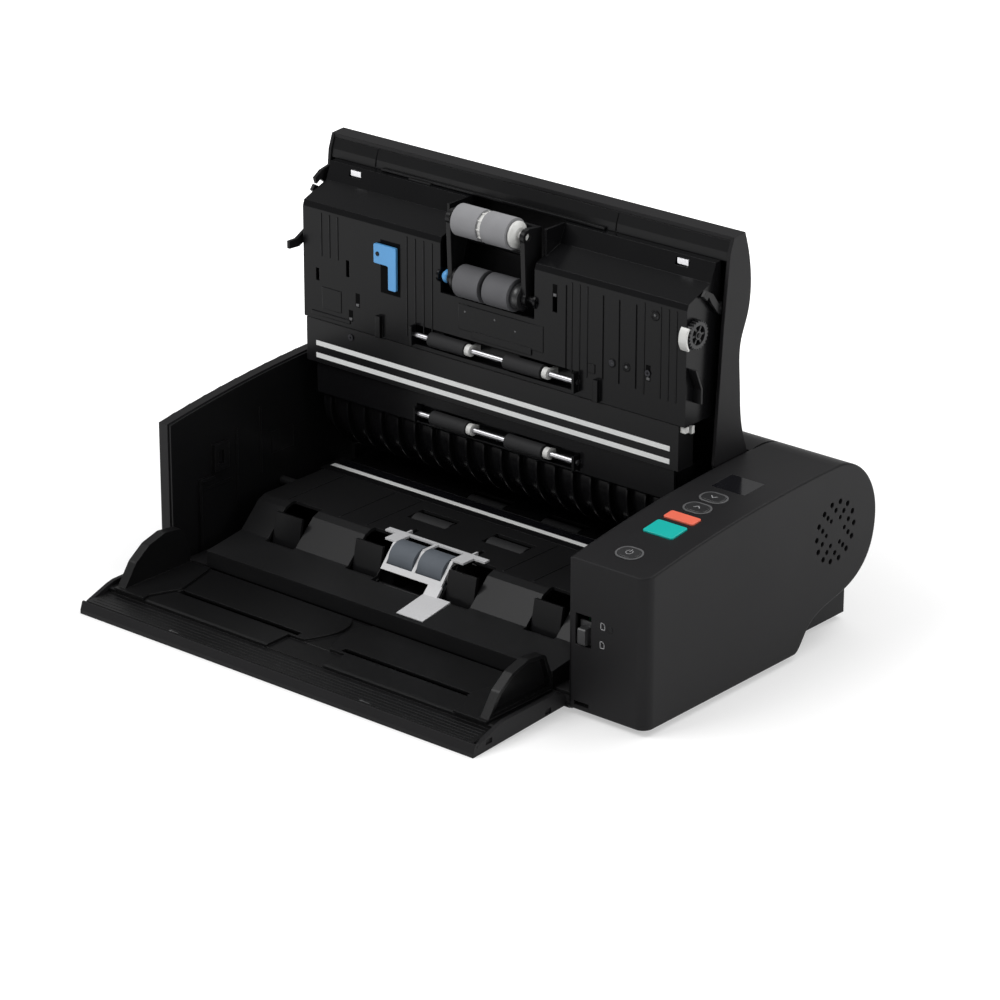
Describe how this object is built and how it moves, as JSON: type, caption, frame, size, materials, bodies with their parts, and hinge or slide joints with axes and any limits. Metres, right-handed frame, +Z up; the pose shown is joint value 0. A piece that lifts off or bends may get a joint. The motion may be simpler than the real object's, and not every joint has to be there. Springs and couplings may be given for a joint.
{
  "type": "document scanner",
  "caption": "Desktop document scanner shown open: hinged cover with feed rollers and sensor bar, fold-down feed tray with sliding paper guides, and a control block on the right.",
  "frame": {"origin": "middle of the bounding box in plan, on the surface that the feet stand on", "axes": "+X to the right as seen from the front, +Y to the back, +Z up; the feed tray opens towards -Y"},
  "size_m": [0.424, 0.3354, 0.2778],
  "materials": {
    "black_shell": "fine matte moulded plastic",
    "black_inner": "satin moulded plastic",
    "black_guide": "smooth satin paper guide",
    "steel": "ground steel",
    "light_rubber": "soft light grey roller rubber",
    "mid_rubber": "grey roller rubber",
    "dark_rubber": "black roller rubber",
    "white_plastic": "white moulded plastic",
    "blue_plastic": "blue moulded plastic",
    "teal_plastic": "teal button plastic",
    "coral_plastic": "coral button plastic",
    "grey_plastic": "grey moulded plastic",
    "dark_glass": "dark polished glass",
    "circuit": "green circuit board",
    "motor_steel": "plated motor can"
  },
  "bodies": {
    "base": {"base_pan": "black_shell", "left_side_cover": "black_shell", "left_inner_frame": "black_inner", "right_side_cover": "black_shell", "right_inner_frame": "black_inner", "rear_cover": "black_shell", "rear_paper_guide": "black_guide", "lower_guide_plate": "black_guide", "lower_sensor_frame": "black_inner", "lower_sensor_glass": "dark_glass", "lower_white_strip": "white_plastic", "main_board": "circuit", "feed_motor": "motor_steel", "drive_belt": "dark_rubber", "fan_frame": "black_inner", "rear_ports": "grey_plastic", "rubber_feet": "dark_rubber", "display_window": "dark_glass", "button_bezels": "grey_plastic", "base_screws": "steel"},
    "front_drive": {"front_drive_roller": "dark_rubber"},
    "rear_drive": {"rear_drive_roller": "dark_rubber"},
    "motor_pulley": {"motor_pulley": "white_plastic"},
    "fan": {"fan_rotor": "black_inner"},
    "retard_roller": {"retard_core": "white_plastic", "retard_rings": "mid_rubber"},
    "retard_holder": {"retard_cover": "white_plastic"},
    "stoppers": {"stopper_flaps": "black_inner"},
    "power_button": {"power_button": "black_shell"},
    "start_button": {"start_button": "teal_plastic"},
    "stop_button": {"stop_button": "coral_plastic"},
    "select_button_front": {"select_button_front": "black_shell"},
    "select_button_rear": {"select_button_rear": "black_shell"},
    "feed_selector": {"feed_select_lever": "grey_plastic"},
    "tray": {"feed_tray": "black_shell", "tray_top_plate": "black_guide"},
    "left_guide": {"left_paper_guide": "black_shell"},
    "right_guide": {"right_paper_guide": "black_shell"},
    "pinion": {"guide_pinion": "white_plastic"},
    "cover": {"cover_shell": "black_shell", "cover_front_bezel": "black_inner", "upper_guide_panel": "black_guide", "metal_tabs": "steel", "upper_sensor_frame": "black_inner", "upper_white_strips": "white_plastic", "u_turn_drum": "black_guide", "roller_bushings": "white_plastic", "cover_screws": "steel"},
    "front_idler": {"front_idler_shaft": "steel", "front_idler_rollers": "dark_rubber"},
    "rear_idler": {"rear_idler_shaft": "steel", "rear_idler_rollers": "dark_rubber"},
    "feed_roller": {"feed_core": "black_inner", "feed_rings": "mid_rubber"},
    "pickup_arm": {"pickup_arm": "black_inner"},
    "pickup_roller": {"pickup_core": "white_plastic", "pickup_rings": "light_rubber"},
    "gear": {"spoked_gear": "black_inner"},
    "blue_lever": {"blue_release_lever": "blue_plastic"},
    "latch": {"latch_hooks": "black_inner"}
  },
  "joints": [
    {"name": "cover_hinge", "type": "hinge", "parent": "base", "child": "cover", "pos_m": [0, 0.1063, 0.098], "axis": [1, 0, 0], "range_deg": [0, 84]},
    {"name": "tray_hinge", "type": "hinge", "parent": "base", "child": "tray", "pos_m": [0, -0.0752, 0.0058], "axis": [-1, 0, 0], "range_deg": [0, 92.8]},
    {"name": "left_guide_slide", "type": "slide", "parent": "tray", "child": "left_guide", "axis": [-1, 0, 0], "range_m": [-0.1, 0]},
    {"name": "right_guide_slide", "type": "slide", "parent": "tray", "child": "right_guide", "axis": [1, 0, 0], "range_m": [-0.1, 0]},
    {"name": "guide_pinion_turn", "type": "hinge", "parent": "tray", "child": "pinion", "pos_m": [-0.0267, -0.1173, 0.0073], "axis": [0, 0, 1], "range_deg": [0, 720]},
    {"name": "power_button_press", "type": "slide", "parent": "base", "child": "power_button", "axis": [0, 0.147, -0.9891], "range_m": [0, 0.001], "stiffness_N_per_m": 400, "springref_m": -0.0008},
    {"name": "start_button_press", "type": "slide", "parent": "base", "child": "start_button", "axis": [0, 0.1175, -0.9931], "range_m": [0, 0.001], "stiffness_N_per_m": 400, "springref_m": -0.0008},
    {"name": "stop_button_press", "type": "slide", "parent": "base", "child": "stop_button", "axis": [0, 0.1025, -0.9947], "range_m": [0, 0.001], "stiffness_N_per_m": 400, "springref_m": -0.0008},
    {"name": "select_button_front_press", "type": "slide", "parent": "base", "child": "select_button_front", "axis": [0, 0.0887, -0.9961], "range_m": [0, 0.001], "stiffness_N_per_m": 400, "springref_m": -0.0008},
    {"name": "select_button_rear_press", "type": "slide", "parent": "base", "child": "select_button_rear", "axis": [0, 0.0742, -0.9972], "range_m": [0, 0.001], "stiffness_N_per_m": 400, "springref_m": -0.0008},
    {"name": "feed_selector_slide", "type": "slide", "parent": "base", "child": "feed_selector", "axis": [0, 0, 1], "range_m": [0, 0.008]},
    {"name": "stopper_swing", "type": "hinge", "parent": "base", "child": "stoppers", "pos_m": [0, -0.0273, 0.0163], "axis": [-1, 0, 0], "range_deg": [0, 38], "stiffness_Nm_per_rad": 0.02, "springref_deg": -17.19},
    {"name": "retard_holder_hinge", "type": "hinge", "parent": "base", "child": "retard_holder", "pos_m": [-0.0267, 0.0037, 0.0377], "axis": [1, 0, 0], "range_deg": [-55, 0]},
    {"name": "retard_spin", "type": "hinge", "parent": "base", "child": "retard_roller", "pos_m": [-0.0267, -0.013, 0.0329], "axis": [1, 0, 0], "continuous": true},
    {"name": "front_drive_spin", "type": "hinge", "parent": "base", "child": "front_drive", "pos_m": [0, 0.0335, 0.0353], "axis": [1, 0, 0], "continuous": true},
    {"name": "rear_drive_spin", "type": "hinge", "parent": "base", "child": "rear_drive", "pos_m": [0, 0.0908, 0.031], "axis": [1, 0, 0], "continuous": true},
    {"name": "motor_pulley_spin", "type": "hinge", "parent": "base", "child": "motor_pulley", "pos_m": [0.158, 0.0627, 0.0683], "axis": [1, 0, 0], "continuous": true},
    {"name": "fan_spin", "type": "hinge", "parent": "base", "child": "fan", "pos_m": [0.203, 0.1217, 0.0793], "axis": [1, 0, 0], "continuous": true},
    {"name": "front_idler_spin", "type": "hinge", "parent": "cover", "child": "front_idler", "pos_m": [-0.02, 0.04966, 0.16525], "axis": [1, 0, 0], "continuous": true},
    {"name": "rear_idler_spin", "type": "hinge", "parent": "cover", "child": "rear_idler", "pos_m": [-0.02, 0.05137, 0.10781], "axis": [1, 0, 0], "continuous": true},
    {"name": "feed_spin", "type": "hinge", "parent": "cover", "child": "feed_roller", "pos_m": [-0.0267, 0.05266, 0.21232], "axis": [1, 0, 0], "continuous": true},
    {"name": "pickup_arm_lift", "type": "hinge", "parent": "cover", "child": "pickup_arm", "pos_m": [-0.0267, 0.05266, 0.21232], "axis": [-1, 0, 0], "range_deg": [0, 10]},
    {"name": "pickup_spin", "type": "hinge", "parent": "pickup_arm", "child": "pickup_roller", "pos_m": [-0.0267, 0.0507, 0.2558], "axis": [1, 0, 0], "continuous": true},
    {"name": "gear_spin", "type": "hinge", "parent": "cover", "child": "gear", "pos_m": [0.143, 0.0577, 0.2178], "axis": [1, 0, 0], "continuous": true},
    {"name": "blue_lever_turn", "type": "hinge", "parent": "cover", "child": "blue_lever", "pos_m": [-0.1225, 0.0488, 0.2163], "axis": [0, 1, 0], "range_deg": [0, 25]},
    {"name": "latch_turn", "type": "hinge", "parent": "cover", "child": "latch", "pos_m": [0, 0.0807, 0.2303], "axis": [1, 0, 0], "range_deg": [0, 10], "stiffness_Nm_per_rad": 0.05, "springref_deg": -11.46}
  ],
  "couplings": [
    {"joint": "right_guide_slide", "follows": "left_guide_slide", "ratio": 1},
    {"joint": "guide_pinion_turn", "follows": "left_guide_slide", "rad_per_m": -125},
    {"joint": "rear_drive_spin", "follows": "front_drive_spin", "ratio": 1},
    {"joint": "motor_pulley_spin", "follows": "front_drive_spin", "ratio": 1},
    {"joint": "pickup_spin", "follows": "feed_spin", "ratio": 1}
  ]
}
